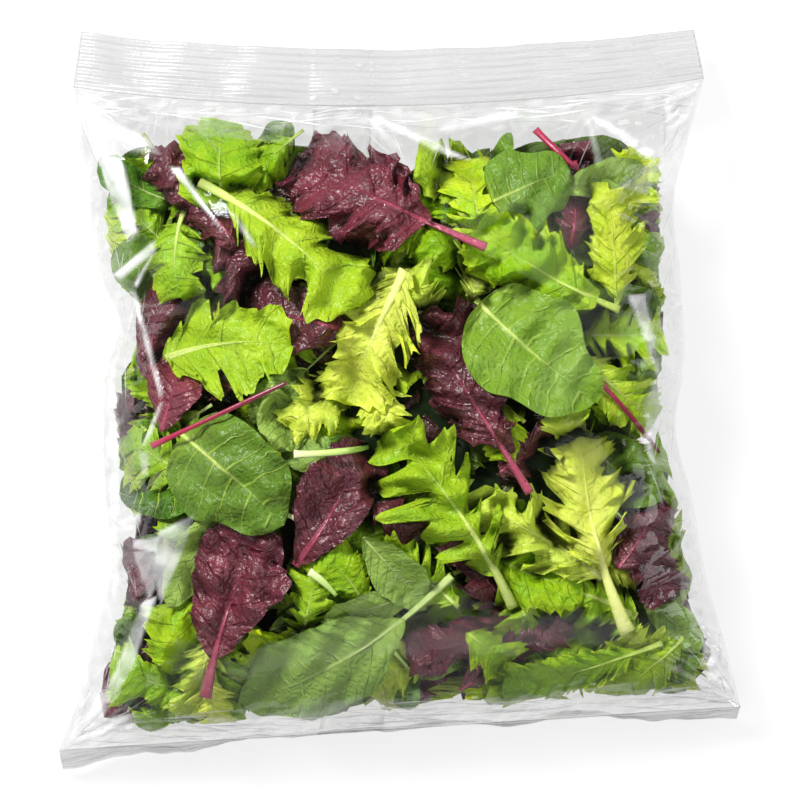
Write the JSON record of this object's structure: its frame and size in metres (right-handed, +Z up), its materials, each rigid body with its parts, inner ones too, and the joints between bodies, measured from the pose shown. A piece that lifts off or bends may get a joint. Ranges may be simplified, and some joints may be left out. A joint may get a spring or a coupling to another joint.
{
  "type": "bag of salad leaves",
  "caption": "Sealed clear pillow bag of mixed salad leaves, lying on its back, with a flat crimped seal at the top and a turned-under crimped seal at the bottom.",
  "frame": {"origin": "on the surface that the bag lies on, under the middle of its bounding box", "axes": "+Z up, through the shown side of the bag; +Y along the bag towards its top seal; +X across it to the right"},
  "size_m": [0.2872, 0.314, 0.0839],
  "materials": {
    "film_over_leaves": "glossy clear film, which takes its colour from the green and wine-red leaves behind it",
    "clear_film": "clear glossy film with crimped seals, in the place of the whole solid's finish",
    "spinach_leaf": "smooth dark green leaf with pale veins",
    "green_leaf": "light green lettuce leaf with a pale rib, matt to slightly glossy",
    "red_leaf": "wine-red lettuce leaf with a pink rib, slightly glossy",
    "pale_stalk": "pale green cut stalk, smooth"
  },
  "bodies": {
    "root": {"salad_bag": "film_over_leaves"}
  },
  "joints": []
}
